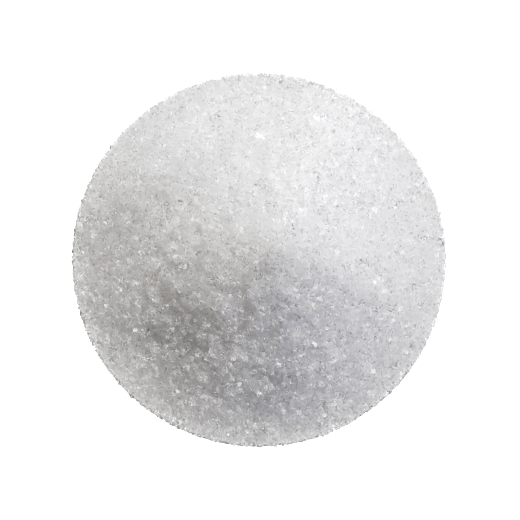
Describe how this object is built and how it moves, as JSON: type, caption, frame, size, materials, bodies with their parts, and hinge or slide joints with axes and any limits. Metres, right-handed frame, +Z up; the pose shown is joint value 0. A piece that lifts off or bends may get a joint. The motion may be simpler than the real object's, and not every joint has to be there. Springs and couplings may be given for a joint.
{
  "type": "heap of xylitol crystals",
  "caption": "Small round heap of clear white granulated xylitol, a low mound of loose crystals that thins out to a single crystal at its rim.",
  "frame": {"origin": "middle of the flat underside, on the surface the heap lies on", "axes": "+Z up, +Y to the back of the heap, +X to its right"},
  "size_m": [0.0398, 0.0399, 0.0084],
  "materials": {
    "crystals": "clear to milky white crystals with glossy facets that glint"
  },
  "bodies": {
    "root": {"crystal_heap": "crystals"}
  },
  "joints": []
}
